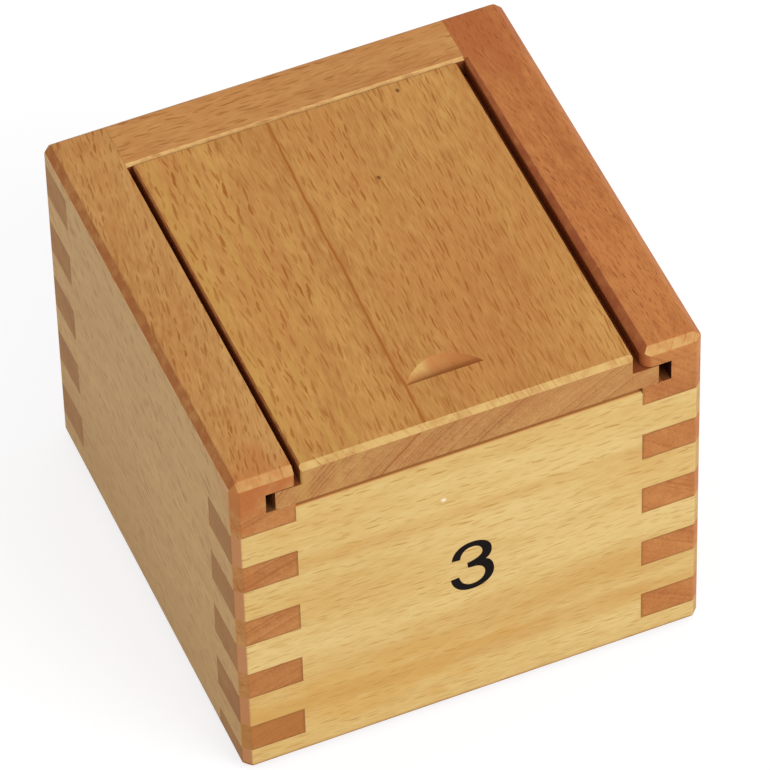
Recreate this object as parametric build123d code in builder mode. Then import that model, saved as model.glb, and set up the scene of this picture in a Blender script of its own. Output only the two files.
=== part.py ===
"""Finger-jointed wooden puzzle box with a sliding lid, made round a set of eight cube blocks.

Millimetres. +Z is up and the front faces -Y. The origin is on the base, under the middle of the box.
"""
from build123d import *
import os

# The block set, which the box is made to fit
block_size = 25.4
blocks_per_edge = 2
block_gap = 0.4
block_easing = 0.7

# Room round the block set inside the closed box
side_room = 0.9
end_room = 1.25
lid_room = 1.4

# Stock
wall = 9.5
floor_thickness = 3.2
lid_thickness = 7.0

# Floor panel, let into a rebate that is routed round the inside of the base
rebate_width = 4.75
panel_corner = 6.0

# Finger joints at the four corners: the side walls keep a tall top finger at the front, beside the lid,
# and at the back they start with a short one, so that the back wall's first finger closes the lid's grooves
corner_fingers = 4
side_finger = 5.4
front_top_finger = 10.9
front_base_finger = 4.7
groove_cover = 0.1
glue_gap = 0.02

# Lid, its side tongues and the grooves that they run in
tongue_thickness = 3.6
tongue_reach = 2.7
tongue_clearance = 0.15
tongue_easing = 0.4
groove_depth = 4.4
lid_slot = 1.2
lid_drop = 0.1
lid_end_gap = 0.35
lid_side_play = 0.25
front_wall_gap = 1.0

# Thumb notch: a round cutter tipped forward, so that its flat end leaves the wall that is pulled on
notch_cutter_radius = 9.0
notch_tilt = 37.0
notch_width = 11.9
notch_setback = 8.1

# Eased edges
edge_easing = 1.2
arris_radius = 0.5
lid_front_easing = 0.8
lid_side_easing = 0.25
lid_corner_radius = 0.4
back_lip_easing = 0.45
front_lip_easing = 0.35

# Easing of the rim beside the lid: a rounded lead-in at the front, and an edge that tapers to the back
left_lead_in = 0.3
left_rim_front = 0.15
left_rim_back = 0.1
right_lead_in = 1.7
right_rim_front = 1.15
right_rim_back = 0.5

# Sizes that follow from the ones above
block_set = blocks_per_edge * block_size
block_spread = block_set + (blocks_per_edge - 1) * block_gap
cavity_width = block_spread + 2 * side_room
cavity_depth = block_spread + 2 * end_room
box_width = cavity_width + 2 * wall
box_depth = cavity_depth + 2 * wall
lid_underside = floor_thickness + block_set + lid_room
lid_top = lid_underside + lid_thickness
box_height = lid_top + lid_drop
groove_top = lid_underside + tongue_thickness + tongue_clearance
front_wall_top = lid_underside - front_wall_gap
front_first_finger = box_height - front_top_finger
back_first_finger = groove_top + groove_cover
front_pitch = (front_first_finger - front_base_finger) / corner_fingers
back_pitch = back_first_finger / (corner_fingers + 1)


def end_wall_bands(first_top, pitch, count):
    """Heights (low, high) of an end wall's fingers, from the first one down, a side finger apart."""
    tops = [first_top - step * pitch for step in range(count)]
    return [(top - pitch + side_finger, top) for top in tops]


def side_wall_bands(end_bands):
    """Heights (low, high) of the side walls' fingers, which fill all that an end wall's fingers leave."""
    tops = [box_height + edge_easing] + [low for low, top in end_bands]
    lows = [top for low, top in end_bands] + [-edge_easing]
    return [(low, top) for low, top in zip(lows, tops) if top > low]


# The lowest finger belongs to the front wall at the front corners, and to the side walls at the back ones
front_bands = end_wall_bands(front_first_finger, front_pitch, corner_fingers)
front_bands.append((-edge_easing, front_base_finger))
back_bands = end_wall_bands(back_first_finger, back_pitch, corner_fingers + 1)


def notch_end(end, bands):
    """Cut a notch one wall deep into the end of an upright outline, at each band of heights."""
    for low, high in bands:
        with Locations((end, (low + high) / 2)):
            Rectangle(2 * (wall + glue_gap), high - low + glue_gap, mode=Mode.SUBTRACT)


# The outside of the box after glue-up, with every edge eased and its arrises rubbed round
with BuildPart() as sanded_block:
    Box(box_width, box_depth, box_height, align=(Align.CENTER, Align.CENTER, Align.MIN))
    chamfer(sanded_block.edges(), edge_easing)
    fillet(sanded_block.edges(), arris_radius)

# The pocket that is routed into the base for the floor panel
with BuildPart() as floor_pocket:
    with BuildSketch(Plane.XY):
        RectangleRounded(cavity_width + 2 * rebate_width, cavity_depth + 2 * rebate_width, panel_corner)
    extrude(amount=floor_thickness)


def rebate_and_sand():
    """Cut the floor pocket out of the wall being made and trim it to the sanded outside."""
    add(floor_pocket.part, mode=Mode.SUBTRACT)
    add(sanded_block.part, mode=Mode.INTERSECT)


def make_side_wall(side, lead_in, rim_front, rim_back):
    """One side wall, left (-1) or right (+1): fingers on both ends and a groove for the lid."""
    inner_face = side * cavity_width / 2
    with BuildPart() as side_wall:
        with BuildSketch(Plane.YZ.offset(inner_face)):
            Rectangle(box_depth, box_height, align=(Align.CENTER, Align.MIN))
            notch_end(-box_depth / 2, front_bands)
            notch_end(box_depth / 2, back_bands)
        extrude(amount=side * wall)
        # The groove is cut right through, into the notch that the back wall's first finger fills
        with BuildSketch(Plane.YZ.offset(inner_face)):
            with Locations((0, lid_underside)):
                groove_length = box_depth + 2 * edge_easing
                Rectangle(groove_length, groove_top - lid_underside, align=(Align.CENTER, Align.MIN))
        extrude(amount=side * groove_depth, mode=Mode.SUBTRACT)
        # A lead-in on the inner corner of the rim, where the lid is started into its grooves
        lead_in_edge = (
            side_wall.edges()
            .filter_by(Axis.Z)
            .filter_by(lambda edge: abs(edge.center().X - inner_face) < glue_gap)
            .group_by(Axis.Y)[0]
            .sort_by(Axis.Z)[-1]
        )
        fillet(lead_in_edge, lead_in)
        # The rim's inner edge is eased as far as the back wall, less towards the back
        for depth, easing in [(box_depth / 2, rim_front), (-cavity_depth / 2, rim_back)]:
            with BuildSketch(Plane.XZ.offset(depth)):
                with Locations((inner_face, box_height)):
                    Rectangle(easing * 2**0.5, easing * 2**0.5, rotation=45)
        loft(mode=Mode.SUBTRACT)
        rebate_and_sand()
    return side_wall.part


def make_end_wall(side, top, bands):
    """The front (-1) or back (+1) wall, up to the given top, with a finger at each of the given bands."""
    with BuildPart() as end_wall:
        with BuildSketch(Plane.XZ.offset(-side * cavity_depth / 2)):
            Rectangle(box_width, top, align=(Align.CENTER, Align.MIN))
            notch_end(-box_width / 2, side_wall_bands(bands))
            notch_end(box_width / 2, side_wall_bands(bands))
        extrude(amount=-side * wall)
        rebate_and_sand()
    return end_wall.part


left_wall = make_side_wall(-1, left_lead_in, left_rim_front, left_rim_back)
left_wall.label = "left_wall"
right_wall = make_side_wall(1, right_lead_in, right_rim_front, right_rim_back)
right_wall.label = "right_wall"

# The front wall stops short of the lid, so that the lid slides out over it
with BuildPart() as front_wall:
    add(make_end_wall(-1, front_wall_top, front_bands))
    front_lip = front_wall.faces().sort_by(Axis.Z)[-1].edges().filter_by(Axis.X).sort_by(Axis.Y)
    chamfer(front_lip, front_lip_easing)
front_wall.part.label = "front_wall"

# The back wall reaches the top, and its inner lip is eased where the lid closes against it
with BuildPart() as back_wall:
    add(make_end_wall(1, box_height, back_bands))
    back_lip = back_wall.faces().sort_by(Axis.Z)[-1].edges().filter_by(Axis.X).sort_by(Axis.Y)[0]
    chamfer(back_lip, back_lip_easing)
back_wall.part.label = "back_wall"

# Thin floor panel with round corners, flush with the base
with BuildPart() as floor_panel:
    with BuildSketch(Plane.XY):
        RectangleRounded(
            cavity_width + 2 * (rebate_width - glue_gap),
            cavity_depth + 2 * (rebate_width - glue_gap),
            panel_corner - glue_gap,
        )
    extrude(amount=floor_thickness)
floor_panel.part.label = "floor_panel"

# Sliding lid: a board with a tongue along each side, resting on the groove floors
lid_width = cavity_width - 2 * lid_slot
lid_front = -box_depth / 2
lid_length = cavity_depth / 2 - lid_end_gap - lid_front
with BuildPart() as lid:
    with BuildSketch(Plane.XZ.offset(-lid_front)) as lid_profile:
        with Locations((-lid_side_play, lid_underside)):
            Rectangle(lid_width, lid_thickness, align=(Align.CENTER, Align.MIN))
            tongue_width = cavity_width + 2 * tongue_reach
            Rectangle(tongue_width, tongue_thickness, align=(Align.CENTER, Align.MIN))
        fillet(lid_profile.vertices().group_by(Axis.Y)[0], tongue_easing)
    extrude(amount=-lid_length)
    front_corners = lid.edges().filter_by(Axis.Z).group_by(Axis.Z)[-1].group_by(Axis.Y)[0]
    fillet(front_corners, lid_corner_radius)
    top_outline = lid.faces().sort_by(Axis.Z)[-1].edges().sort_by(Axis.Y)[:-1]
    chamfer(top_outline, lid_side_easing)
    # The front edge is eased more than the sides
    with BuildSketch(Plane.YZ):
        with Locations((lid_front, lid_top)):
            Rectangle(lid_front_easing * 2**0.5, lid_front_easing * 2**0.5, rotation=45)
    extrude(amount=box_width / 2, both=True, mode=Mode.SUBTRACT)
    # Thumb notch near the front, cut by the tipped round cutter
    notch_plane = Plane(
        origin=(-lid_side_play, lid_front + notch_setback, lid_top),
        x_dir=(1, 0, 0),
        z_dir=Vector(0, 1, 0).rotate(Axis.X, notch_tilt),
    )
    cutter_height = (notch_cutter_radius**2 - (notch_width / 2) ** 2) ** 0.5
    with BuildSketch(notch_plane):
        with Locations((0, -cutter_height)):
            Circle(notch_cutter_radius)
    extrude(amount=lid_length, mode=Mode.SUBTRACT)
lid.part.label = "lid"


def make_block(column, row, layer):
    """One cube block, counted from the front left corner of the bottom layer."""
    first_centre = -(block_spread - block_size) / 2
    step = block_size + block_gap
    centre = Vector(first_centre + column * step, first_centre + row * step, 0)
    with BuildPart() as block:
        with BuildSketch(Plane.XY.offset(floor_thickness + layer * block_size)):
            with Locations((centre.X, centre.Y)):
                Rectangle(block_size, block_size)
        extrude(amount=block_size)
        chamfer(block.edges(), block_easing)
    return block.part


blocks = {}
for layer in range(blocks_per_edge):
    for row in range(blocks_per_edge):
        for column in range(blocks_per_edge):
            block = make_block(column, row, layer)
            block.label = f"block_{len(blocks) + 1}"
            blocks[block.label] = block

os.makedirs("parts", exist_ok=True)
for piece in [left_wall, right_wall, front_wall.part, back_wall.part, floor_panel.part, lid.part]:
    export_step(piece, f"parts/{piece.label}.step")
for label, block in blocks.items():
    export_step(block, f"parts/{label}.step")
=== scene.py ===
"""Finishes for a finger-jointed beech puzzle box with a sliding lid, and a stage to show it on.

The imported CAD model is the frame. Every board keeps its shape and gets solid wood, grown and sawn as
the real board is, and the numeral is printed on the front wall.
"""
import math

import bmesh
import bpy
from bpy.props import FloatProperty, FloatVectorProperty, PointerProperty
from bpy.types import Operator, Panel, PropertyGroup
from mathutils import Matrix, Vector


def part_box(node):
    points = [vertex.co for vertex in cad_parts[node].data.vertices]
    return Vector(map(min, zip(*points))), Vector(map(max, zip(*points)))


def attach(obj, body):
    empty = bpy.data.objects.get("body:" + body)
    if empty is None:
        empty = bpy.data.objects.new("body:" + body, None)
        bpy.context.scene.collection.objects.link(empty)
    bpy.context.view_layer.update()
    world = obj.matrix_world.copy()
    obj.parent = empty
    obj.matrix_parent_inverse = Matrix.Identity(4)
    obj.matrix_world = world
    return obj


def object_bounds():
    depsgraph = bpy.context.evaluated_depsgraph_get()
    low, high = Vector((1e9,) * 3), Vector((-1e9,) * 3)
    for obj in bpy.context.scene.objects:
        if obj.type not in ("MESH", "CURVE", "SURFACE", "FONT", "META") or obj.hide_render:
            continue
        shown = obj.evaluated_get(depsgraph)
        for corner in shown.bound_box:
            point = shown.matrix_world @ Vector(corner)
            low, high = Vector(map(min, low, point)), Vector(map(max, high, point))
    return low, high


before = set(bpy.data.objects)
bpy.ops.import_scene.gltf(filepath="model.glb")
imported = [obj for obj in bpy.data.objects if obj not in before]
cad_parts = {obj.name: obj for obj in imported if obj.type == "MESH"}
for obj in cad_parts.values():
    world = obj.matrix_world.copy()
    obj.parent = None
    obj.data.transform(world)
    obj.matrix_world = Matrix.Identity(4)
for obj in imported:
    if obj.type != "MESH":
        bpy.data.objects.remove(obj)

bl_info = {
    "name": "Puzzle box finishes",
    "version": (1, 0, 0),
    "blender": (4, 5, 0),
    "location": "3D View > Sidebar > Puzzle Box",
    "description": "Sawn beech for the boards and blocks, the printed numeral and the stage",
    "category": "Object",
}

MILLIMETRE = 0.001
CAD_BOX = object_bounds()


# Kinds of setting --------------------------------------------------------------------------------


def colour(name, description, default):
    return FloatVectorProperty(
        name=name, description=description, default=default, subtype="COLOR", min=0, max=1
    )


def share(name, description, default):
    return FloatProperty(
        name=name, description=description, default=default, subtype="FACTOR", min=0, max=1
    )


def shares(name, description, default):
    return FloatVectorProperty(name=name, description=description, default=default, min=0, max=1)


def ratio(name, description, default):
    return FloatProperty(name=name, description=description, default=default, min=-1, max=1)


def length(name, description, default):
    return FloatProperty(
        name=name, description=description, default=default, unit="LENGTH", precision=5
    )


def lengths(name, description, default):
    return FloatVectorProperty(
        name=name, description=description, default=default, unit="LENGTH", precision=5
    )


def place(name, description, default):
    return FloatVectorProperty(
        name=name, description=description, default=default, subtype="TRANSLATION", unit="LENGTH"
    )


def direction(name, description, default):
    return FloatVectorProperty(name=name, description=description, default=default, subtype="DIRECTION")


def angle(name, description, degrees):
    return FloatProperty(
        name=name, description=description, default=math.radians(degrees), subtype="ANGLE"
    )


def camera_size(name, description, default):
    return FloatProperty(
        name=name, description=description, default=default, subtype="DISTANCE_CAMERA"
    )


# Settings ----------------------------------------------------------------------------------------


class SawnBeech:
    """How a board's wood grew. Places are from the middle of the board, with its grain along Y."""

    pale: colour("Pale wood", "Colour of the early wood", (0.665, 0.35, 0.1))
    deep: colour("Deep wood", "Colour of the late wood at the end of a ring", (0.44, 0.175, 0.042))
    warm: colour("Warm wood", "Colour of the reddish drifts in the board", (0.54, 0.2, 0.054))
    fleck: colour("Ray flecks", "Colour of the short flecks that the rays leave", (0.36, 0.13, 0.024))
    streak: colour("Streaks", "Colour of the few broad streaks along the grain", (0.63, 0.36, 0.085))
    knot: colour("Pin knots", "Colour of the pin knots", (0.14, 0.045, 0.01))
    end_grain: colour("End grain", "Tint of the wood where the board is cut across", (0.9, 0.78, 0.7))
    pith: place("Pith", "Middle of the tree", (0.03, 0, -0.09))
    slope: ratio("Slope of the grain", "How far the grain runs across for its length", 0)
    wander: length("Wander", "How far the grain wanders to either side", 0.0003)
    ring_spacing: length("Ring spacing", "Width of one year's growth", 0.0011)
    ring_strength: share("Ring strength", "How dark the end of a ring is", 0.25)
    band_strength: share("Band strength", "How far the tone drifts from one group of rings to the next", 0.4)
    fibre_strength: share("Fibre strength", "How strongly the fine fibres show", 0.3)
    warm_share: share("Warm share", "How far the reddish drifts take over", 0.4)
    patch_place: place("Patch place", "Middle of the one large warm patch", (0, 0, 0))
    patch_size: place("Patch size", "How far the warm patch reaches each way", (0.01, 0.01, 0.01))
    patch_share: share("Patch share", "How far the wood turns warm in the patch", 0)
    streak_axis: direction("Streak axis", "Direction in which the streaks follow one another", (1, 0, 0))
    streak_places: lengths("Streak places", "Place of each streak along that direction", (0, 0, 0))
    streak_widths: lengths("Streak widths", "Half the width of each streak", (0.001, 0.001, 0.001))
    streak_shares: shares("Streak shares", "How far the wood takes the streak's tone", (0, 0, 0))
    growth_line: place("Growth line", "A point on the dark growth line", (0, 0, 0))
    growth_line_strength: share("Growth line strength", "How dark the growth line is", 0)
    fleck_length: length("Fleck length", "Length of a ray fleck along the grain", 0.0022)
    fleck_width: length("Fleck width", "Width of a ray fleck across the grain", 0.00032)
    fleck_spacing: length("Fleck spacing", "Distance between flecks across the grain", 0.0012)
    fleck_strength: share("Fleck strength", "How dark the ray flecks are", 0.9)
    first_knot: place("First pin knot", "Place of a pin knot, or outside the board for none", (0, 0, -1))
    second_knot: place("Second pin knot", "Place of a pin knot, or outside the board for none", (0, 0, -1))


class OiledSurface:
    """How a board's surface is finished, and the painted highlights, shade and sheen on its edges and left
    face.
    """

    # Painted highlight where the key light glints on the eased edges that face the front
    front_edge: colour("Front edges", "Colour of the eased edges that face the front", (0.72, 0.49, 0.17))
    # Painted shade on the eased edges that face the left, away from the key light
    left_edge: colour("Left edges", "Colour of the eased edges that face the left", (0.4, 0.12, 0.035))
    # Painted sheen: the left face is paled, as by the reflection of the pale surroundings
    left_face: colour("Left face", "Colour that the left face bleaches to", (0.65, 0.47, 0.195))
    left_face_share: share("Left face share", "How far the left face has bleached", 0)
    roughness: share("Roughness", "Roughness of the oiled surface", 0.5)


def starting_with(**defaults):
    """The named settings of a beech board, each with another default.

    They are the annotations of one board's class, which so says only what sets that board apart.
    """
    shared = {**SawnBeech.__annotations__, **OiledSurface.__annotations__}
    settings = {}
    for name, default in defaults.items():
        keywords = {**shared[name].keywords, "default": default}
        settings[name] = shared[name].function(**keywords)
    return settings


class LidBoard(SawnBeech, OiledSurface, PropertyGroup):
    """The sliding lid"""

    __annotations__ = starting_with(
        fleck=(0.4, 0.13, 0.022),
        end_grain=(0.84, 0.84, 0.98),
        pith=(0.07, 0, -0.08),
        slope=0.025,
        ring_spacing=0.0008,
        ring_strength=0.3,
        band_strength=0.28,
        fibre_strength=0.36,
        patch_place=(0.011, -0.008, 0.003),
        patch_size=(0.011, 0.02, 0.006),
        patch_share=0.35,
        streak_places=(-0.0242, -0.0188, -0.0157),
        streak_widths=(0.0012, 0.0007, 0.0006),
        streak_shares=(0.55, 0.45, 0.45),
        growth_line=(-0.0054, 0, 0.0035),
        growth_line_strength=0.95,
        fleck_length=0.0039,
        fleck_width=0.00034,
        fleck_strength=1,
        first_knot=(0.0153, 0.0298, 0.0035),
        second_knot=(0.0061, 0.015, 0.0035),
        front_edge=(0.68, 0.44, 0.155),
        left_edge=(0.34, 0.105, 0.034),
    )


class LeftBoard(SawnBeech, OiledSurface, PropertyGroup):
    """The left wall, whose outer face has a painted sheen"""

    __annotations__ = starting_with(
        pale=(0.65, 0.355, 0.118),
        deep=(0.45, 0.19, 0.052),
        streak=(0.48, 0.22, 0.05),
        end_grain=(0.84, 0.68, 0.64),
        pith=(0.05, 0, -0.11),
        slope=0.16,
        fibre_strength=0.4,
        patch_place=(0, -0.036, 0.031),
        patch_size=(0.008, 0.007, 0.006),
        patch_share=0.85,
        streak_axis=(0, 0, 1),
        streak_places=(-0.025, 0, 0),
        streak_widths=(0.013, 0.001, 0.001),
        streak_shares=(0.75, 0, 0),
        fleck_length=0.0028,
        fleck_width=0.00036,
        fleck_spacing=0.0013,
        fleck_strength=1,
        front_edge=(0.62, 0.33, 0.11),
        left_edge=(0.4, 0.135, 0.038),
        left_face_share=0.4,
    )


class RightBoard(SawnBeech, OiledSurface, PropertyGroup):
    """The right wall, which is redder and has smaller flecks"""

    __annotations__ = starting_with(
        pale=(0.61, 0.235, 0.068),
        deep=(0.44, 0.14, 0.038),
        warm=(0.45, 0.125, 0.036),
        fleck=(0.3, 0.07, 0.018),
        end_grain=(0.93, 1, 1),
        pith=(0.065, 0, 0.1),
        slope=-0.08,
        band_strength=0.45,
        fibre_strength=0.5,
        patch_place=(0, 0.033, 0.031),
        patch_size=(0.008, 0.011, 0.012),
        patch_share=0.7,
        fleck_length=0.0018,
        fleck_width=0.0003,
        fleck_strength=0.7,
        front_edge=(0.66, 0.38, 0.13),
        left_edge=(0.38, 0.1, 0.034),
    )


class FrontBoard(SawnBeech, OiledSurface, PropertyGroup):
    """The front wall, which is paler than the others, with one pale speck"""

    __annotations__ = starting_with(
        pale=(0.76, 0.548, 0.222),
        deep=(0.65, 0.41, 0.135),
        warm=(0.68, 0.4, 0.11),
        fleck=(0.5, 0.26, 0.06),
        streak=(0.58, 0.3, 0.07),
        knot=(0.95, 0.85, 0.7),
        end_grain=(0.53, 0.335, 0.16),
        pith=(-0.08, 0, -0.05),
        wander=0.0007,
        ring_spacing=0.002,
        band_strength=0.7,
        fibre_strength=0.42,
        warm_share=0.28,
        patch_place=(0.0048, -0.018, -0.016),
        patch_size=(0.01, 0.02, 0.006),
        patch_share=0.7,
        streak_axis=(0, 0, 1),
        streak_places=(0.0146, -0.0164, -0.0095),
        streak_widths=(0.0018, 0.0026, 0.0045),
        streak_shares=(0.45, 0.65, 0.42),
        fleck_length=0.0032,
        fleck_width=0.00028,
        fleck_spacing=0.0014,
        fleck_strength=0.85,
        first_knot=(0.00475, -0.0042, 0.0184),
    )


class BackBoard(SawnBeech, OiledSurface, PropertyGroup):
    """The back wall"""

    __annotations__ = starting_with(
        pale=(0.675, 0.337, 0.113),
        deep=(0.46, 0.18, 0.05),
        end_grain=(0.675, 0.64, 0.395),
        pith=(-0.06, 0, -0.08),
        wander=0.0009,
        fleck_length=0.0034,
        fleck_width=0.00034,
        fleck_spacing=0.0011,
        front_edge=(0.77, 0.48, 0.18),
    )


class FloorBoard(SawnBeech, OiledSurface, PropertyGroup):
    """The thin floor panel"""

    __annotations__ = starting_with(pith=(0.02, 0, -0.15))


class CubeBlocks(SawnBeech, OiledSurface, PropertyGroup):
    """The eight cube blocks"""

    __annotations__ = starting_with(front_edge=(0.66, 0.37, 0.12), left_edge=(0.52, 0.22, 0.065))


class PrintedNumeral(PropertyGroup):
    """The numeral on the front wall"""

    ink: colour("Ink", "Colour of the printing ink", (0.006, 0.004, 0.004))
    height: length("Height", "Height of the numeral", 0.0103)
    above_base: length("Above base", "Height of the numeral's middle above the base", 0.0294)
    film: length("Ink film", "How far the ink stands proud of the wood", 0.00002)


class ShowStage(PropertyGroup):
    """The floor, the light and the camera"""

    floor_colour: colour("Floor", "Colour of the floor where light bounces off it", (0.8, 0.8, 0.8))
    floor_reach: length("Floor reach", "How far the floor goes each way", 6.0)
    ambient: share("Ambient light", "Strength of the light from all round", 0.7)
    key: share("Key light", "What the key light adds, where 1 shows white as white", 0.45)
    key_size: length("Key size", "Side of the square key light", 0.7)
    key_distance: length("Key distance", "Distance of the key light from the box", 1.1)
    key_direction: direction("Key direction", "Direction from the box to the light", (0.42, -0.72, 0.55))
    aim: place("Aim", "Point that the camera looks at", (0.00092, -0.00238, 0.03264))
    azimuth: angle("Azimuth", "How far the camera goes round the box from the front", -21.665)
    elevation: angle("Elevation", "Height of the camera above the floor, as an angle", 48.451)
    roll: angle("Roll", "Tilt of the camera about its own line of sight", -1.702)
    distance: length("Distance", "Distance of the camera from its aim", 1.0897)
    focal_length: camera_size("Focal length", "Focal length of the lens", 351)
    sensor: camera_size("Sensor", "Width of the camera's sensor", 36)


class PuzzleBoxSettings(PropertyGroup):
    """All the settings of the puzzle box"""

    lid: PointerProperty(type=LidBoard, name="Lid", description="Wood of the sliding lid")
    left_wall: PointerProperty(type=LeftBoard, name="Left wall", description="Wood of the left wall")
    right_wall: PointerProperty(type=RightBoard, name="Right wall", description="Wood of the right wall")
    front_wall: PointerProperty(type=FrontBoard, name="Front wall", description="Wood of the front wall")
    back_wall: PointerProperty(type=BackBoard, name="Back wall", description="Wood of the back wall")
    floor_panel: PointerProperty(type=FloorBoard, name="Floor panel", description="Wood of the floor panel")
    blocks: PointerProperty(type=CubeBlocks, name="Blocks", description="Wood of the cube blocks")
    numeral: PointerProperty(type=PrintedNumeral, name="Numeral", description="The printed numeral")
    stage: PointerProperty(type=ShowStage, name="Stage", description="Floor, light and camera")


# Nodes -------------------------------------------------------------------------------------------


class Wiring:
    """Adds shader nodes to one tree. Most methods return the socket that holds the result."""

    def __init__(self, tree):
        self.tree = tree

    def node(self, kind, inputs=(), **settings):
        """Makes a node, with its inputs given by their names or numbers."""
        made = self.tree.nodes.new("ShaderNode" + kind)
        for name, setting in settings.items():
            setattr(made, name, setting)
        for key, value in dict(inputs).items():
            self.plug(made.inputs[key], value)
        return made

    def plug(self, socket, value):
        if isinstance(value, bpy.types.NodeSocket):
            self.tree.links.new(value, socket)
        else:
            socket.default_value = value

    def math(self, operation, *terms, clamp=False):
        return self.node("Math", enumerate(terms), operation=operation, use_clamp=clamp).outputs[0]

    def chain(self, operation, *terms):
        """Applies the operation to the first two terms, then to the result and each further term."""
        result = terms[0]
        for term in terms[1:]:
            result = self.math(operation, result, term)
        return result

    def total(self, *terms):
        return self.chain("ADD", *terms)

    def product(self, *terms):
        return self.chain("MULTIPLY", *terms)

    def highest(self, *terms):
        return self.chain("MAXIMUM", *terms)

    def lowest(self, *terms):
        return self.chain("MINIMUM", *terms)

    def difference(self, value, taken):
        return self.math("SUBTRACT", value, taken)

    def quotient(self, value, divisor):
        return self.math("DIVIDE", value, divisor)

    def absolute(self, value):
        return self.math("ABSOLUTE", value)

    def linear(self, value, factor, start):
        """The start plus the value times the factor."""
        return self.math("MULTIPLY_ADD", value, factor, start)

    def smooth(self, value, low, high, start=0.0, end=1.0):
        """Goes smoothly from start to end as the value goes from low to high."""
        limits = {"Value": value, "From Min": low, "From Max": high, "To Min": start, "To Max": end}
        return self.node("MapRange", limits, interpolation_type="SMOOTHSTEP").outputs[0]

    def vector(self, operation, *terms):
        made = self.node("VectorMath", enumerate(terms), operation=operation)
        return made.outputs["Value" if operation in ("DOT_PRODUCT", "LENGTH") else "Vector"]

    def join(self, x, y, z):
        return self.node("CombineXYZ", {"X": x, "Y": y, "Z": z}).outputs[0]

    def parts(self, vector):
        return self.node("SeparateXYZ", {"Vector": vector}).outputs[:]

    def cloud(self, point, stretch, detail=1.0):
        """Smooth noise from about -1 to 1, with its lumps stretched to the given sizes."""
        scaled = self.vector("DIVIDE", point, stretch)
        noise = self.node("TexNoise", {"Vector": scaled, "Scale": 1.0, "Detail": detail})
        return self.linear(noise.outputs[0], 3.0, -1.5)

    def drift(self, point, stretch, reach):
        """A vector that wanders up to about the reach each way."""
        scaled = self.vector("DIVIDE", point, stretch)
        noise = self.node("TexNoise", {"Vector": scaled, "Scale": 1.0, "Detail": 1.0})
        centred = self.vector("SUBTRACT", noise.outputs["Color"], (0.5, 0.5, 0.5))
        return self.vector("MULTIPLY", centred, tuple(3 * side for side in reach))

    def blend(self, amount, first, second, kind="MIX"):
        """Blends two colours. A Mix node has sockets for every type of value, and these are the colours'."""
        inputs = {0: amount, 6: first, 7: second}
        return self.node("Mix", inputs, data_type="RGBA", blend_type=kind).outputs[2]


def new_group(name, inputs, outputs):
    """A node group with the named sockets: its tree, its wiring, its inputs and its outputs."""
    tree = bpy.data.node_groups.new(name, "ShaderNodeTree")
    for label, kind in inputs.items():
        tree.interface.new_socket(label, in_out="INPUT", socket_type="NodeSocket" + kind)
    for label, kind in outputs.items():
        tree.interface.new_socket(label, in_out="OUTPUT", socket_type="NodeSocket" + kind)
    source = tree.nodes.new("NodeGroupInput").outputs
    result = tree.nodes.new("NodeGroupOutput").inputs
    return tree, Wiring(tree), source, result


def new_material(name):
    """A material with no nodes in it yet, and its wiring."""
    material = bpy.data.materials.new(name)
    material.use_nodes = True
    material.node_tree.nodes.clear()
    return material, Wiring(material.node_tree)


# Wood --------------------------------------------------------------------------------------------

# Radii of a pin knot, in millimetres, across and along the grain
PIN_KNOT_SIZE = (0.34, 0.46, 0.42)

# How the pattern turns so that its grain runs along the named axis
GRAIN_TURN = {
    "X": (0, 0, -math.pi / 2),
    "Y": (0, 0, 0),
    "Z": (math.pi / 2, 0, 0),
}
GRAIN_DIRECTION = {"X": (1, 0, 0), "Y": (0, 1, 0), "Z": (0, 0, 1)}

# Tones that the cutters and glue have left, with painted shade for the slots, grooves, notch, the gap under
# the lid and the undersides, and painted highlights for the left arris and the notch's lit end
SCORCHED_AND_SHADED_WOOD = (0.25, 0.06, 0.016)
GROOVE_SHADE_WOOD = (0.045, 0.01, 0.006)
GAP_SHADE_TONE = (0.66, 0.28, 0.085)
UNDERSIDE_SHADE = (0.68, 0.56, 0.5)
LEAD_IN_WOOD = (0.43, 0.12, 0.032)
CORNER_WOOD = (0.56, 0.23, 0.1)
GLUE_STAIN = (0.25, 0.1, 0.03)
ARRIS_HIGHLIGHT = (0.8, 0.5, 0.27)
NOTCH_LIT = (0.66, 0.42, 0.135)
NOTCH_HALF_SHADE = (0.53, 0.2, 0.053)
NOTCH_SHADE = (0.5, 0.17, 0.045)
NOTCH_CORNER_SHADE = (0.38, 0.13, 0.03)


def fleck_group():
    """Lens-shaped ray flecks, one to a cell. Around goes round the rings and Along goes up the tree."""
    names = ("Around", "Along", "Spacing", "Length", "Width")
    tree, wire, source, result = new_group("Ray flecks", dict.fromkeys(names, "Float"), {"Fleck": "Float"})
    row = wire.product(source["Length"], 1.15)
    cell_size = wire.join(source["Spacing"], row, 1.0)
    spot = wire.vector("DIVIDE", wire.join(source["Around"], source["Along"], 0.0), cell_size)
    cell = wire.node("TexVoronoi", {"Vector": spot, "Scale": 1.0}, voronoi_dimensions="2D")
    offset = wire.vector("MULTIPLY", wire.vector("SUBTRACT", spot, cell.outputs["Position"]), cell_size)
    around, along, _ = wire.parts(offset)

    # Each cell has its own width, depth of colour and length of fleck, and leans a little its own way
    wide, dark, long = wire.parts(cell.outputs["Color"])
    around = wire.linear(along, wire.linear(wide, 0.16, -0.08), around)
    half_width = wire.product(source["Width"], wire.smooth(wide, 0.0, 1.0, 0.28, 0.5))
    half_length = wire.product(source["Length"], wire.smooth(long, 0.0, 1.0, 0.3, 0.6))
    taper = wire.math("POWER", wire.quotient(wire.absolute(along), half_length), 2.0)
    sideways = wire.quotient(wire.absolute(around), half_width)
    lens = wire.smooth(wire.difference(wire.difference(1.0, taper), sideways), -0.05, 0.4)
    wire.plug(result["Fleck"], wire.product(lens, wire.smooth(dark, 0.0, 1.0, 0.6, 1.0)))
    return tree


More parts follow.
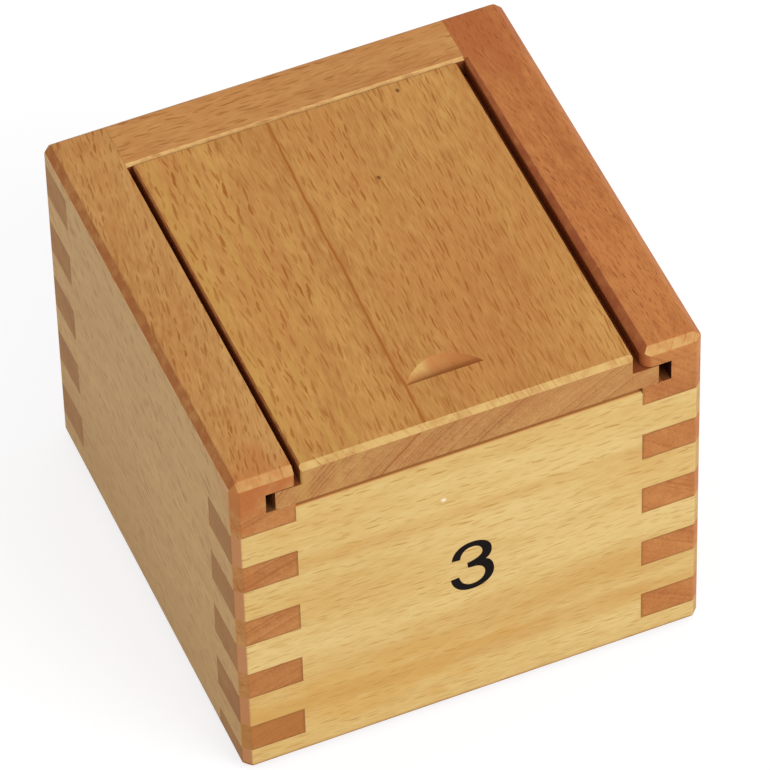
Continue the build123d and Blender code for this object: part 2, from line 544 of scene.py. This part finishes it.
def follow_grain(wire, source):
    """The point as it lay before the grain ran a little aslant and wandered up the tree."""
    point = source["Point"]
    aslant = wire.join(wire.product(wire.parts(point)[1], source["Slope"], -1.0), 0.0, 0.0)
    wander = wire.drift(point, (22.0, 30.0, 22.0), (1.0, 0.0, 1.0))
    wander = wire.vector("MULTIPLY", wander, wire.join(*[source["Wander"]] * 3))
    ripple = wire.drift(point, (2.5, 9.0, 2.5), (0.12, 0.0, 0.12))
    return wire.vector("ADD", wire.vector("ADD", point, wire.vector("ADD", aslant, wander)), ripple)


def find_in_tree(wire, source, point):
    """Radius from the pith, and distance round the rings from the line through the board's middle."""
    pith = source["Pith"]
    pith_distance = wire.vector("LENGTH", pith)
    outward = wire.vector("DIVIDE", pith, wire.join(*[wire.product(pith_distance, -1.0)] * 3))
    out_x, _, out_z = wire.parts(outward)
    onward = wire.join(wire.product(out_z, -1.0), 0.0, out_x)
    from_pith = wire.vector("MULTIPLY", wire.vector("SUBTRACT", point, pith), (1.0, 0.0, 1.0))
    onward_part = wire.vector("DOT_PRODUCT", from_pith, onward)
    bearing = wire.math("ARCTAN2", onward_part, wire.vector("DOT_PRODUCT", from_pith, outward))
    return wire.vector("LENGTH", from_pith), wire.product(bearing, pith_distance)


def year_rings(wire, source, radius):
    """Each year darkens towards its end, some years more than others."""
    unevenness = wire.cloud(wire.join(radius, 0.0, 0.0), (4.0, 4.0, 4.0))
    years = wire.total(wire.quotient(radius, source["Ring spacing"]), unevenness)
    chance = wire.node("TexWhiteNoise", {"W": wire.math("FLOOR", years)}, noise_dimensions="1D").outputs[0]
    season = wire.math("FRACT", years)
    late = wire.product(wire.smooth(season, 0.3, 0.95), wire.smooth(season, 1.0, 0.94))
    ring = wire.total(wire.product(late, wire.linear(chance, 1.2, 0.1)), wire.linear(chance, 0.5, -0.4))
    return wire.product(ring, source["Ring strength"], wire.smooth(source["End cut"], 0.0, 1.0, 0.35, 1.4))


def warm_parts(wire, source, point):
    """How warm the wood is: reddish drifts and one large patch."""
    flush = wire.smooth(wire.cloud(point, (7.0, 22.0, 7.0), 2.0), -0.4, 0.8)
    from_middle = wire.vector("SUBTRACT", point, source["Patch place"])
    offset = wire.vector("DIVIDE", from_middle, source["Patch size"])
    reach = wire.total(wire.vector("LENGTH", offset), wire.cloud(point, (3.0, 8.0, 3.0), 2.0))
    patch = wire.product(wire.smooth(reach, 1.5, 0.5), source["Patch share"])
    return wire.highest(wire.product(flush, source["Warm share"]), patch)


def broad_streaks(wire, source, point, along):
    """Up to three broad streaks along the grain, which swell and shrink."""
    level = wire.vector("DOT_PRODUCT", point, source["Streak axis"])
    tide = wire.cloud(wire.join(level, along, 0.0), (3.0, 14.0, 1.0), 2.0)
    streaks = []
    rows = zip(*[wire.parts(source["Streak " + name]) for name in ("places", "widths", "shares")])
    for middle, half_width, amount in rows:
        away = wire.quotient(wire.absolute(wire.difference(level, middle)), half_width)
        streaks.append(wire.product(wire.smooth(away, 1.3, 0.2), amount))
    return wire.product(wire.highest(*streaks), wire.smooth(tide, -0.9, 0.5, 0.35, 1.0))


def bold_growth_line(wire, source, radius, tremble):
    """One bold growth line through the given point, with a flush beside it."""
    line_radius = wire.vector("LENGTH", wire.vector("SUBTRACT", source["Growth line"], source["Pith"]))
    away = wire.absolute(wire.difference(wire.linear(tremble, 0.06, radius), line_radius))
    halo = wire.product(wire.smooth(away, 0.7, 0.0), 0.25)
    return wire.product(wire.highest(wire.smooth(away, 0.2, 0.07), halo), source["Growth line strength"])


def ray_flecks(wire, source, point, along, around):
    """Ray flecks, large and small, more crowded in some places than in others."""
    sizes = {
        "Around": around,
        "Along": along,
        "Spacing": source["Fleck spacing"],
        "Length": source["Fleck length"],
        "Width": source["Fleck width"],
    }
    flecks = fleck_group()
    large = wire.node("Group", sizes, node_tree=flecks)
    small = wire.node("Group", node_tree=flecks)
    for name, value in sizes.items():
        factor = {"Around": 1.0, "Along": 1.0}.get(name, 0.66)
        wire.plug(small.inputs[name], wire.linear(value, factor, 0.013))
    crowding = wire.smooth(wire.cloud(point, (5.0, 14.0, 5.0)), -0.8, 0.6, 0.55, 1.0)
    return wire.product(wire.highest(large.outputs[0], wire.product(small.outputs[0], 0.7)), crowding)


def socket_label(name):
    """Name of the socket that takes the named setting."""
    return name.replace("_", " ").capitalize()


def socket_kind(setting):
    """Kind of the socket that takes a setting."""
    if setting.function is FloatProperty:
        return "Float"
    return "Color" if setting.keywords.get("subtype") == "COLOR" else "Vector"


def socket_value(setting, value):
    """The value of a setting as its socket takes it, with lengths in millimetres."""
    kind = socket_kind(setting)
    if kind == "Color":
        return (*value, 1)
    if setting.keywords.get("unit") != "LENGTH":
        return value
    return Vector(value) / MILLIMETRE if kind == "Vector" else value / MILLIMETRE


def beech_group():
    """Solid beech, measured in millimetres with its grain along Y."""
    inputs = {"Point": "Vector", "End cut": "Float"}
    for name, setting in SawnBeech.__annotations__.items():
        inputs[socket_label(name)] = socket_kind(setting)
    outputs = {"Colour": "Color", "Fleck": "Float", "Relief": "Float"}
    tree, wire, source, result = new_group("Beech", inputs, outputs)
    along = wire.parts(source["Point"])[1]
    point = follow_grain(wire, source)
    radius, around = find_in_tree(wire, source, point)

    # Broad bands that follow the rings, and fine fibres
    band = wire.cloud(wire.join(radius, along, around), (5.0, 40.0, 30.0), 2.0)
    fibre = wire.cloud(point, (0.38, 2.6, 0.38), 2.0)
    mottle = wire.cloud(point, (1.3, 3.5, 1.3), 2.0)
    texture = wire.product(wire.linear(mottle, 0.7, fibre), source["Fibre strength"])
    bands = wire.product(band, source["Band strength"])
    depth = wire.total(0.42, bands, year_rings(wire, source, radius), texture)
    wood = wire.blend(wire.math("ADD", depth, 0.0, clamp=True), source["Pale"], source["Deep"])

    wood = wire.blend(warm_parts(wire, source, point), wood, source["Warm"])
    wood = wire.blend(broad_streaks(wire, source, point, along), wood, source["Streak"])
    tremble = wire.cloud(point, (0.9, 1.6, 0.9))
    wood = wire.blend(bold_growth_line(wire, source, radius, tremble), wood, source["Fleck"])

    # The flecks hardly show where the board is cut across
    fleck = ray_flecks(wire, source, point, along, wire.linear(tremble, 0.08, around))
    seen = wire.product(source["Fleck strength"], wire.smooth(source["End cut"], 0.0, 1.0, 1.0, 0.07))
    wood = wire.blend(wire.product(fleck, seen), wood, source["Fleck"])

    for name in ("First knot", "Second knot"):
        offset = wire.vector("DIVIDE", wire.vector("SUBTRACT", source["Point"], source[name]), PIN_KNOT_SIZE)
        knot = wire.smooth(wire.vector("LENGTH", offset), 1.2, 0.4, 0.0, 0.85)
        wood = wire.blend(knot, wood, source["Knot"])

    # Open pores drink more oil where the board is cut across
    wire.plug(result["Colour"], wire.blend(source["End cut"], wood, source["End grain"], "MULTIPLY"))
    wire.plug(result["Relief"], wire.total(wire.product(fibre, 0.4), wire.product(fleck, -0.6), 0.5))
    wire.plug(result["Fleck"], fleck)
    return tree


def tone_with_painted_light(wire, spot, point, beech, board):
    """The wood's tone with painted highlights and painted shade on its eased edges, a painted highlight on
    the left arris, a painted sheen on its left face and painted shade on its underside.
    """
    right, back, up = wire.parts(spot.outputs["Normal"])
    tone, fleck = beech.outputs["Colour"], beech.outputs["Fleck"]

    # Painted highlights on the eased edges that face the front, where the key light glints, and painted
    # shade on those that face the left, come and go in patches, and the flecks run across them
    edge_patchiness = wire.smooth(wire.cloud(point, (1.8, 1.8, 1.8), 2.0), -0.8, 0.5, 0.35, 1.0)
    edge_patchiness = wire.product(edge_patchiness, wire.linear(fleck, -0.6, 1.0))
    upward = wire.smooth(up, 0.3, 0.6)
    for side, edge_tone in ((back, board.front_edge), (right, board.left_edge)):
        outward = wire.product(side, -1.0)
        slanted = wire.product(wire.smooth(outward, 0.4, 0.68), wire.smooth(outward, 0.95, 0.74), upward)
        tone = wire.blend(wire.product(slanted, edge_patchiness), tone, (*edge_tone, 1))

    # Painted highlight where the round arris between the left face and its upper edge catches the light
    arris_highlight = wire.product(wire.smooth(right, -0.74, -0.86), wire.smooth(right, -0.985, -0.93))
    arris_highlight = wire.product(arris_highlight, wire.smooth(up, 0.1, 0.3), edge_patchiness)
    tone = wire.blend(arris_highlight, tone, (*ARRIS_HIGHLIGHT, 1))

    # A painted sheen pales the left face, less on the flecks
    painted_sheen = wire.smooth(right, -0.8, -0.95, 0.0, board.left_face_share)
    painted_sheen = wire.product(painted_sheen, wire.linear(fleck, -0.5, 1.0))
    tone = wire.blend(painted_sheen, tone, (*board.left_face, 1))
    # Painted shade on faces that turn downward
    return wire.blend(wire.smooth(up, -0.1, -0.45), tone, (*UNDERSIDE_SHADE, 1), "MULTIPLY")


def beech_material(name, board, centre, grain, marks=None, shift=0.0):
    """Beech for the board whose middle is at the centre, with its grain along the named axis.

    Marks is a function that adds to the wood's tone what cutters and use have left on this board. The
    shift moves the pattern along the grain, so that like boards differ.
    """
    material, wire = new_material(name)
    spot = wire.node("TexCoord")
    grain_direction = Vector(GRAIN_DIRECTION[grain])
    mapping = {
        "Vector": spot.outputs["Object"],
        "Location": centre + shift * grain_direction,
        "Rotation": GRAIN_TURN[grain],
        "Scale": (MILLIMETRE, MILLIMETRE, MILLIMETRE),
    }
    point = wire.node("Mapping", mapping, vector_type="TEXTURE").outputs[0]
    facing = wire.vector("DOT_PRODUCT", spot.outputs["Normal"], tuple(grain_direction))
    values = {"Point": point, "End cut": wire.smooth(wire.absolute(facing), 0.5, 0.95)}
    for key, setting in SawnBeech.__annotations__.items():
        values[socket_label(key)] = socket_value(setting, getattr(board, key))
    group = bpy.data.node_groups.get("Beech") or beech_group()
    beech = wire.node("Group", values, node_tree=group)

    tone = tone_with_painted_light(wire, spot, point, beech, board)
    if marks:
        tone = marks(wire, spot, tone)
    relief = {"Height": beech.outputs["Relief"], "Strength": 0.35, "Distance": 0.06 * MILLIMETRE}
    surface = {
        "Base Color": tone,
        "Normal": wire.node("Bump", relief).outputs[0],
        "Roughness": board.roughness,
        "IOR": 1.45,
        "Specular IOR Level": 0.12,
    }
    shader = wire.node("BsdfPrincipled", surface)
    wire.node("OutputMaterial", {"Surface": shader.outputs[0]})
    return material


# Marks -------------------------------------------------------------------------------------------

# Half the lid's width above its tongues
LID_SHOULDER = 0.0253

# The thumb notch: its round cutter, how far that stood above the lid and stopped behind the lid's front,
# and how far back the flat end leans for its depth
NOTCH_RADIUS = 0.009
NOTCH_AXIS_HEIGHT = 0.00675
NOTCH_SETBACK = 0.0081
NOTCH_END_LEAN = 0.6

# The lid's grooves: the height of the lip above one and the depth of its floor, both from the rim, how
# far in it shows scorched, and how far the rounded lead-in reaches
LIP_HEIGHT = 0.00334
GROOVE_FLOOR = 0.0071
GROOVE_REACH = 0.0047
LEAD_IN_REACH = 0.0016

# The side walls' fingers, with the top one and the pitch of the rest at either end
SIDE_FINGER = 0.0054
FRONT_TOP_FINGER = 0.0109
FRONT_FINGER_PITCH = 0.011725
BACK_TOP_FINGER = 0.00325
BACK_FINGER_PITCH = 0.01185


def burn_and_shade(wire, spot, tone, amount, dark_tone=SCORCHED_AND_SHADED_WOOD):
    """Darkens the tone with saw burn and painted shade where the slots and grooves lie in shadow, but not on
    the ends of the board.
    """
    facing_along = wire.absolute(wire.parts(spot.outputs["Normal"])[1])
    amount = wire.product(amount, wire.smooth(facing_along, 0.8, 0.3))
    return wire.blend(amount, tone, (*dark_tone, 1))


def lid_marks(wire, spot, tone):
    """Saw burn and painted shade on the sides and tongues, and a thumb notch with painted light and shade.
    """
    low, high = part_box("lid")
    x, y, z = wire.parts(spot.outputs["Object"])
    up = wire.parts(spot.outputs["Normal"])[2]
    across = wire.difference(x, (low.x + high.x) / 2)
    beside = wire.absolute(across)
    # Saw burn and painted shade on the lid's sides and tongues, darker further below the face
    outside = wire.smooth(beside, LID_SHOULDER - 0.00003, LID_SHOULDER - 0.00001)
    depth = wire.smooth(z, high.z - 0.0002, high.z - 0.001, 0.35, 0.93)
    tone = burn_and_shade(wire, spot, tone, wire.product(outside, depth))

    # The notch is all that slopes between the eased edges
    inside = wire.product(wire.smooth(y, low.y + 0.003, low.y + 0.0032), wire.smooth(beside, 0.0075, 0.0073))
    notch = wire.product(inside, wire.smooth(up, 0.985, 0.93))

    # How far a spot lies behind the corner where the cutter's flat end stopped
    half_chord = wire.math("SQRT", wire.difference(NOTCH_RADIUS**2, wire.product(across, across)))
    corner_depth = wire.difference(half_chord, NOTCH_AXIS_HEIGHT)
    corner = wire.linear(corner_depth, NOTCH_END_LEAN, low.y + NOTCH_SETBACK)
    behind = wire.difference(y, corner)

    # Painted light on the notch's left end, which faces the key light, and painted shade over the rest
    low_down = wire.smooth(behind, 0.0015, 0.0005, 0.0, 0.8)
    shaded_share = wire.highest(wire.smooth(across, -0.0028, -0.0008), low_down)
    left_tone = wire.blend(shaded_share, (*NOTCH_LIT, 1), (*NOTCH_HALF_SHADE, 1))
    notch_tone = wire.blend(wire.smooth(across, -0.001, 0.005), left_tone, (*NOTCH_SHADE, 1))
    tone = wire.blend(wire.product(notch, 0.8), tone, notch_tone)

    # Painted shade in the corner
    reach = wire.smooth(across, -0.006, 0.003, 0.00005, 0.00035)
    corner_shade = wire.smooth(wire.difference(behind, reach), 0.0004, 0.0, 0.0, 0.65)
    return wire.blend(wire.product(notch, corner_shade), tone, (*NOTCH_CORNER_SHADE, 1))


def glue_line(wire, spot, beyond):
    """Where glue has darkened the rims of the finger ends, at both ends of a side wall."""
    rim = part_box("left_wall")[1].z
    z = wire.parts(spot.outputs["Object"])[2]
    back = wire.parts(spot.outputs["Normal"])[1]
    pitch = wire.smooth(back, -0.5, 0.5, FRONT_FINGER_PITCH, BACK_FINGER_PITCH)
    first = wire.smooth(back, -0.5, 0.5, rim - FRONT_TOP_FINGER, rim - BACK_TOP_FINGER)
    step = wire.product(wire.math("FRACT", wire.quotient(wire.difference(first, z), pitch)), pitch)
    upper = wire.absolute(wire.total(wire.difference(step, pitch), SIDE_FINGER))
    lower = wire.lowest(step, wire.difference(pitch, step))
    smear = wire.cloud(spot.outputs["Object"], (0.002, 0.002, 0.002), 2.0)
    seam = wire.linear(smear, 0.0001, wire.lowest(upper, lower, beyond))
    on_ends = wire.smooth(wire.absolute(back), 0.9, 0.99)
    # At the front there is no joint beside the lid
    below_lid = wire.smooth(z, rim - GROOVE_FLOOR - 0.0003, rim - GROOVE_FLOOR - 0.0007)
    jointed = wire.highest(below_lid, wire.smooth(back, 0.5, 0.9))
    return wire.product(wire.smooth(seam, 0.0005, 0.0001, 0.0, 0.45), on_ends, jointed)


def side_wall_marks(wire, spot, tone):
    """Saw burn and painted shade in the lid groove and on the wall above it, and glue lines round the finger
    ends.
    """
    low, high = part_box("left_wall")
    x, y, z = wire.parts(spot.outputs["Object"])
    right, _, up = wire.parts(spot.outputs["Normal"])
    # Distance into the wall from its inner face, on either side of the box
    beyond = wire.difference(wire.absolute(x), -high.x)
    lip = wire.smooth(z, high.z - LIP_HEIGHT - 0.00002, high.z - LIP_HEIGHT + 0.00002)

    # The rounded lead-in
    turned_in = wire.smooth(wire.absolute(right), 0.15, 0.4)
    near_end = wire.smooth(y, low.y + LEAD_IN_REACH + 0.0003, low.y + LEAD_IN_REACH)
    near_slot = wire.smooth(beyond, LEAD_IN_REACH + 0.0003, LEAD_IN_REACH, 0.0, 0.8)
    tone = wire.blend(wire.product(turned_in, near_end, lip, near_slot), tone, (*LEAD_IN_WOOD, 1))

    # Saw burn and painted shade in the groove and on the wall above it, half as strong on the floor near the
    # mouth
    reached = wire.smooth(beyond, GROOVE_REACH + 0.0002, GROOVE_REACH)
    in_groove = wire.product(reached, wire.difference(1.0, lip))
    cut = wire.highest(in_groove, wire.smooth(beyond, 0.00004, 0.00002))
    depth = wire.smooth(z, high.z - 0.0008, high.z - 0.0016, 0.2, 0.93)
    above_floor = wire.smooth(z, high.z - GROOVE_FLOOR - 0.0001, high.z - GROOVE_FLOOR)
    mouth = wire.product(wire.smooth(up, 0.5, 0.9), wire.smooth(y, low.y + 0.005, low.y + 0.0005))
    shade_share = wire.linear(mouth, -0.5, 1.0)
    tone = burn_and_shade(wire, spot, tone, wire.product(cut, depth, above_floor, shade_share))
    # Painted near-black shade deep in the groove, half as strong near the mouth
    deepest = wire.product(in_groove, above_floor, wire.smooth(beyond, 0.0028, 0.0032))
    tone = burn_and_shade(wire, spot, tone, wire.product(deepest, shade_share), GROOVE_SHADE_WOOD)
    return wire.blend(glue_line(wire, spot, beyond), tone, (*GLUE_STAIN, 1))


def back_wall_marks(wire, spot, tone):
    """Painted shade on the inner face where the slots beside the lid end against it."""
    low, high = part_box("lid")
    x, _, z = wire.parts(spot.outputs["Object"])
    inward = wire.smooth(wire.parts(spot.outputs["Normal"])[1], -0.75, -0.95)
    beside = wire.absolute(wire.difference(x, (low.x + high.x) / 2))
    outside = wire.smooth(beside, LID_SHOULDER - 0.0002, LID_SHOULDER, 0.0, 0.9)
    above = wire.smooth(z, low.z - 0.0002, low.z)
    return wire.blend(wire.product(inward, outside, above), tone, (*SCORCHED_AND_SHADED_WOOD, 1))


def front_wall_marks(wire, spot, tone):
    """Painted reddish shade on the top, which shows as the gap line under the lid, brown on the upright
    corners that face the left, and painted shade along the foot.
    """
    low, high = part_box("front_wall")
    z = wire.parts(spot.outputs["Object"])[2]
    outward = wire.product(wire.parts(spot.outputs["Normal"])[0], -1.0)
    # Brown on the upright corners that face the left
    corner = wire.product(wire.smooth(outward, 0.35, 0.65), wire.smooth(outward, 0.97, 0.8, 0.0, 0.8))
    tone = wire.blend(corner, tone, (*CORNER_WOOD, 1))
    # Painted shade along the foot, where the contact shadow falls
    foot_shade = wire.smooth(z, low.z + 0.0018, low.z + 0.0013)
    tone = wire.blend(foot_shade, tone, (*UNDERSIDE_SHADE, 1), "MULTIPLY")
    # Painted reddish shade on the top, seen through the gap under the lid
    top = wire.smooth(z, high.z - 0.00014, high.z - 0.00004, 0.0, 0.9)
    return wire.blend(top, tone, (*GAP_SHADE_TONE, 1))


def finish_board(node, board, grain, marks=None, shift=0.0):
    """Gives a CAD node beech of its own, centred on it."""
    low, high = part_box(node)
    name = node.replace("_", " ") + " beech"
    material = beech_material(name, board, (low + high) / 2, grain, marks, shift)
    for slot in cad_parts[node].material_slots:
        slot.material = material


# Operators ---------------------------------------------------------------------------------------

# How much farther along the strip each next block was cut
BLOCK_STEP = 0.05


class PUZZLEBOX_OT_finish_lid(Operator):
    """Finish the sliding lid in sawn beech with one bold growth line"""

    bl_idname = "puzzlebox.finish_lid"
    bl_label = "Finish Lid"

    def execute(self, context):
        finish_board("lid", context.scene.puzzle_box.lid, "Y", lid_marks)
        return {"FINISHED"}


class PUZZLEBOX_OT_finish_side_walls(Operator):
    """Finish the two side walls, whose grain runs from front to back"""

    bl_idname = "puzzlebox.finish_side_walls"
    bl_label = "Finish Side Walls"

    def execute(self, context):
        settings = context.scene.puzzle_box
        finish_board("left_wall", settings.left_wall, "Y", side_wall_marks)
        finish_board("right_wall", settings.right_wall, "Y", side_wall_marks)
        return {"FINISHED"}


class PUZZLEBOX_OT_finish_end_walls(Operator):
    """Finish the front and back walls, whose grain runs from left to right"""

    bl_idname = "puzzlebox.finish_end_walls"
    bl_label = "Finish End Walls"

    def execute(self, context):
        settings = context.scene.puzzle_box
        finish_board("front_wall", settings.front_wall, "X", front_wall_marks)
        finish_board("back_wall", settings.back_wall, "X", back_wall_marks)
        return {"FINISHED"}


class PUZZLEBOX_OT_finish_floor_panel(Operator):
    """Finish the floor panel"""

    bl_idname = "puzzlebox.finish_floor_panel"
    bl_label = "Finish Floor Panel"

    def execute(self, context):
        finish_board("floor_panel", context.scene.puzzle_box.floor_panel, "X")
        return {"FINISHED"}


class PUZZLEBOX_OT_finish_blocks(Operator):
    """Finish the cube blocks, each cut from another length of the same strip"""

    bl_idname = "puzzlebox.finish_blocks"
    bl_label = "Finish Blocks"

    def execute(self, context):
        names = sorted(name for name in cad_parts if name.startswith("block_"))
        for turn, name in enumerate(names):
            grain = "XYZ"[turn % 3]
            finish_board(name, context.scene.puzzle_box.blocks, grain, shift=turn * BLOCK_STEP)
        return {"FINISHED"}


# Outline of the numeral 3 as (point, handle before, handle after), clockwise from its upper left end, with
# its middle at the origin. A corner's handle towards a straight side is the point itself.
NUMERAL_HEIGHT = 10.3
NUMERAL_OUTLINE = [
    ((-3.16, 2.07), (-3.16, 2.07), (-3.05, 3.9)),
    ((0.02, 5.15), (-1.75, 5.15), (1.8, 5.15)),
    ((3.05, 2.5), (3.05, 4.05), (3.05, 1.55)),
    ((2.1, 0.52), (2.7, 0.85), (2.95, 0.2)),
    ((3.37, -2.1), (3.37, -0.95), (3.37, -3.85)),
    ((-0.02, -5.15), (1.95, -5.15), (-1.85, -5.15)),
    ((-3.35, -1.9), (-3.2, -3.85), (-3.35, -1.9)),
    ((-2.06, -1.77), (-2.06, -1.77), (-1.85, -3.25)),
    ((-0.02, -4.05), (-1.0, -4.05), (1.2, -4.05)),
    ((1.98, -2.15), (1.98, -3.2), (1.98, -1.1)),
    ((0.15, -0.38), (1.2, -0.38), (-0.1, -0.38)),
    ((-0.69, -0.26), (-0.4, -0.36), (-0.69, -0.26)),
    ((-0.77, 0.86), (-0.77, 0.86), (-0.4, 0.78)),
    ((1.6, 2.4), (1.6, 1.35), (1.6, 3.4)),
    ((-0.02, 4.06), (1.0, 4.06), (-1.0, 4.06)),
    ((-1.87, 1.95), (-1.75, 3.35), (-1.87, 1.95)),
]


def flat_outline(name, outline, scale, thickness):
    """A mesh plate cut to a closed curve, in the XY plane."""
    curve = bpy.data.curves.new(name, "CURVE")
    curve.dimensions = "2D"
    curve.fill_mode = "BOTH"
    curve.extrude = thickness / 2
    spline = curve.splines.new("BEZIER")
    spline.bezier_points.add(len(outline) - 1)
    spline.use_cyclic_u = True
    for point, corners in zip(spline.bezier_points, outline):
        ends = [Vector((x, y, 0)) * scale for x, y in corners]
        point.co, point.handle_left, point.handle_right = ends
    holder = bpy.data.objects.new(name, curve)
    mesh = bpy.data.meshes.new_from_object(holder)
    bpy.data.objects.remove(holder)
    return mesh


def ink_material(ink):
    """Printing ink that has soaked unevenly into the wood."""
    material, wire = new_material("numeral ink")
    spot = wire.node("TexCoord").outputs["Object"]
    thinness = wire.smooth(wire.cloud(spot, (0.003, 0.003, 0.0002), 3.0), -1.0, 1.0)
    thin_ink = [2.2 * part for part in ink]
    surface = {
        "Base Color": wire.blend(thinness, (*ink, 1), (*thin_ink, 1)),
        "Roughness": wire.linear(thinness, 0.1, 0.75),
        "IOR": 1.45,
        "Specular IOR Level": 0.06,
    }
    wire.node("OutputMaterial", {"Surface": wire.node("BsdfPrincipled", surface).outputs[0]})
    return material


class PUZZLEBOX_OT_print_numeral(Operator):
    """Print the numeral on the front wall"""

    bl_idname = "puzzlebox.print_numeral"
    bl_label = "Print Numeral"

    def execute(self, context):
        numeral = context.scene.puzzle_box.numeral
        low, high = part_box("front_wall")
        thickness = 2 * numeral.film
        mesh = flat_outline("printed_numeral", NUMERAL_OUTLINE, numeral.height / NUMERAL_HEIGHT, thickness)
        upright = Matrix.Rotation(math.pi / 2, 4, "X")
        mesh.transform(Matrix.Translation(((low.x + high.x) / 2, low.y, numeral.above_base)) @ upright)
        shape = bmesh.new()
        shape.from_mesh(mesh)
        bmesh.ops.remove_doubles(shape, verts=shape.verts, dist=numeral.film / 10)
        bmesh.ops.recalc_face_normals(shape, faces=shape.faces)
        shape.to_mesh(mesh)
        shape.free()
        piece = bpy.data.objects.new("printed_numeral", mesh)
        context.scene.collection.objects.link(piece)
        mesh.materials.append(ink_material(numeral.ink))
        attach(piece, "box")
        return {"FINISHED"}


# What the floor shows to the camera: a glow of its own, and a shade of its own for the light that falls
# on it, which together come to white away from the box
FLOOR_GLOW = 0.72
FLOOR_SHADE = (0.37, 0.375, 0.39)
FLOOR_CLEARANCE = 0.00002


def floor_material(floor_colour):
    """A pale floor that shows white and keeps a soft shadow."""
    material, wire = new_material("stage floor")
    bounce = wire.node("BsdfDiffuse", {"Color": (*floor_colour, 1)}).outputs[0]
    glow = wire.node("Emission", {"Color": (1, 1, 1, 1), "Strength": FLOOR_GLOW}).outputs[0]
    shadow = wire.node("BsdfDiffuse", {"Color": (*FLOOR_SHADE, 1)}).outputs[0]
    shown = wire.node("AddShader", {0: glow, 1: shadow}).outputs[0]
    chosen = wire.node("MixShader", {0: seen_directly(wire), 1: bounce, 2: shown}).outputs[0]
    wire.node("OutputMaterial", {"Surface": chosen})
    return material


def seen_directly(wire):
    """1 for rays from the camera, off a glossy surface or through glass, and 0 for the rest."""
    path = wire.node("LightPath")
    kinds = ("Is Camera Ray", "Is Glossy Ray", "Is Transmission Ray")
    return wire.highest(*[path.outputs[kind] for kind in kinds])


class PUZZLEBOX_OT_set_stage(Operator):
    """Lay the floor, hang the lights and set up the camera"""

    bl_idname = "puzzlebox.set_stage"
    bl_label = "Set Stage"

    def execute(self, context):
        stage = context.scene.puzzle_box.stage
        self.lay_floor(context, stage)
        self.hang_key(context, stage)
        self.light_world(context, stage)
        self.place_camera(context, stage)
        context.scene.view_settings.view_transform = "Standard"
        return {"FINISHED"}

    def lay_floor(self, context, stage):
        mesh = bpy.data.meshes.new("stage_floor")
        shape = bmesh.new()
        bmesh.ops.create_grid(shape, x_segments=1, y_segments=1, size=stage.floor_reach)
        bmesh.ops.translate(shape, verts=shape.verts, vec=(0, 0, CAD_BOX[0].z - FLOOR_CLEARANCE))
        shape.to_mesh(mesh)
        shape.free()
        floor = bpy.data.objects.new("stage_floor", mesh)
        context.scene.collection.objects.link(floor)
        mesh.materials.append(floor_material(stage.floor_colour))

    def hang_key(self, context, stage):
        towards_key = Vector(stage.key_direction).normalized()
        lamp = bpy.data.lights.new("key light", "AREA")
        lamp.shape = "SQUARE"
        lamp.size = stage.key_size
        lamp.energy = stage.key * (math.pi * stage.key_distance) ** 2
        key = bpy.data.objects.new("key light", lamp)
        key.location = stage.key_distance * towards_key
        key.rotation_euler = towards_key.to_track_quat("Z", "Y").to_euler()
        context.scene.collection.objects.link(key)

    def light_world(self, context, stage):
        world = bpy.data.worlds.new("stage world")
        world.use_nodes = True
        world.node_tree.nodes.clear()
        wire = Wiring(world.node_tree)
        strength = wire.smooth(seen_directly(wire), 0.0, 1.0, stage.ambient, 1.0)
        light = wire.node("Background", {"Color": (1, 1, 1, 1), "Strength": strength})
        wire.node("OutputWorld", {"Surface": light.outputs[0]})
        context.scene.world = world

    def place_camera(self, context, stage):
        lens = bpy.data.cameras.new("camera")
        lens.lens = stage.focal_length
        lens.sensor_width = stage.sensor
        lens.clip_end = 4 * stage.floor_reach
        camera = bpy.data.objects.new("camera", lens)
        turn = (
            Matrix.Rotation(stage.azimuth, 4, "Z")
            @ Matrix.Rotation(math.pi / 2 - stage.elevation, 4, "X")
            @ Matrix.Rotation(stage.roll, 4, "Z")
        )
        back_off = Matrix.Translation((0, 0, stage.distance))
        camera.matrix_world = Matrix.Translation(stage.aim) @ turn @ back_off
        context.scene.collection.objects.link(camera)
        context.scene.camera = camera


class PUZZLEBOX_PT_panel(Panel):
    """The puzzle box's finishes"""

    bl_idname = "PUZZLEBOX_PT_panel"
    bl_label = "Puzzle Box"
    bl_space_type = "VIEW_3D"
    bl_region_type = "UI"
    bl_category = "Puzzle Box"

    def draw(self, context):
        for step in STEPS:
            self.layout.operator(step.bl_idname)


SETTINGS = (
    LidBoard,
    LeftBoard,
    RightBoard,
    FrontBoard,
    BackBoard,
    FloorBoard,
    CubeBlocks,
    PrintedNumeral,
    ShowStage,
    PuzzleBoxSettings,
)
STEPS = (
    PUZZLEBOX_OT_set_stage,
    PUZZLEBOX_OT_finish_lid,
    PUZZLEBOX_OT_finish_side_walls,
    PUZZLEBOX_OT_finish_end_walls,
    PUZZLEBOX_OT_finish_floor_panel,
    PUZZLEBOX_OT_finish_blocks,
    PUZZLEBOX_OT_print_numeral,
)


def register():
    for kind in (*SETTINGS, *STEPS, PUZZLEBOX_PT_panel):
        bpy.utils.register_class(kind)
    bpy.types.Scene.puzzle_box = PointerProperty(
        type=PuzzleBoxSettings, name="Puzzle box", description="Settings of the puzzle box"
    )


def unregister():
    del bpy.types.Scene.puzzle_box
    for kind in reversed((*SETTINGS, *STEPS, PUZZLEBOX_PT_panel)):
        bpy.utils.unregister_class(kind)


def main():
    register()
    bpy.ops.puzzlebox.set_stage()
    bpy.ops.puzzlebox.finish_lid()
    bpy.ops.puzzlebox.finish_side_walls()
    bpy.ops.puzzlebox.finish_end_walls()
    bpy.ops.puzzlebox.finish_floor_panel()
    bpy.ops.puzzlebox.finish_blocks()
    bpy.ops.puzzlebox.print_numeral()


if __name__ == "__main__":
    main()
